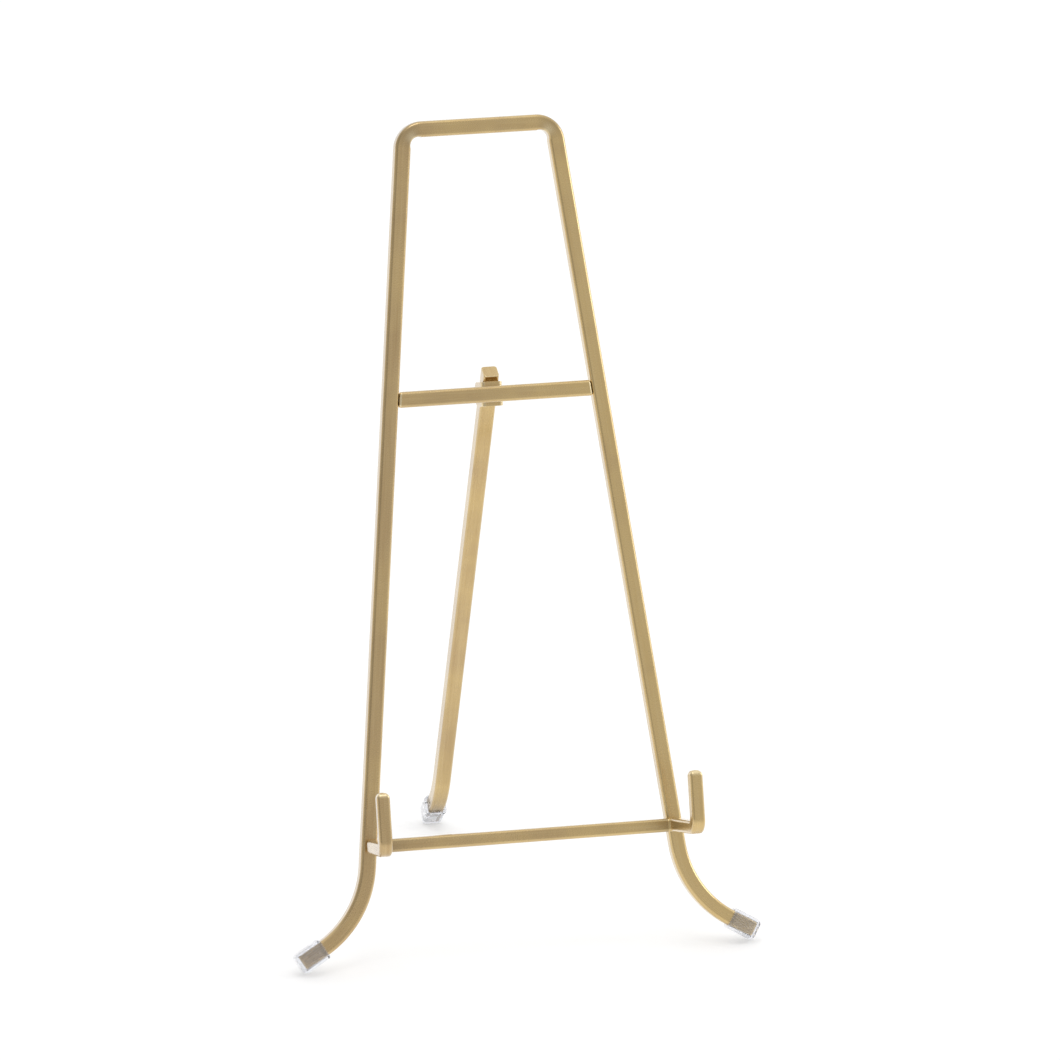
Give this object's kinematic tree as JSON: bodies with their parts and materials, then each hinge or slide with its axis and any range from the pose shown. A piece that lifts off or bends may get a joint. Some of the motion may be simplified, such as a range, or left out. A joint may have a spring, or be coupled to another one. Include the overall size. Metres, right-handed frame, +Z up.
{
  "type": "display easel",
  "caption": "Folding tabletop display easel of bent square bar, with hooked arms in front and a hinged back leg on capped feet.",
  "frame": {"origin": "on the floor, under the middle of the bounding box of the open easel", "axes": "+Z up, +X to the right of someone facing the easel's front, +Y towards its back leg"},
  "size_m": [0.1786, 0.1936, 0.304],
  "materials": {
    "gold_bar": "satin gold plating on steel bar",
    "clear_vinyl": "soft clear vinyl"
  },
  "bodies": {
    "frame": {"front_frame": "gold_bar", "upper_crossbar": "gold_bar", "hook_bar": "gold_bar", "hinge_bracket": "gold_bar", "hinge_rivet": "gold_bar", "left_foot_cap": "clear_vinyl", "right_foot_cap": "clear_vinyl"},
    "leg": {"rear_leg": "gold_bar", "rear_foot_cap": "clear_vinyl"}
  },
  "joints": [
    {"name": "leg_fold", "type": "hinge", "parent": "frame", "child": "leg", "pos_m": [0, -0.00412, 0.20088], "axis": [-1, 0, 0], "range_deg": [0, 43.4]}
  ]
}
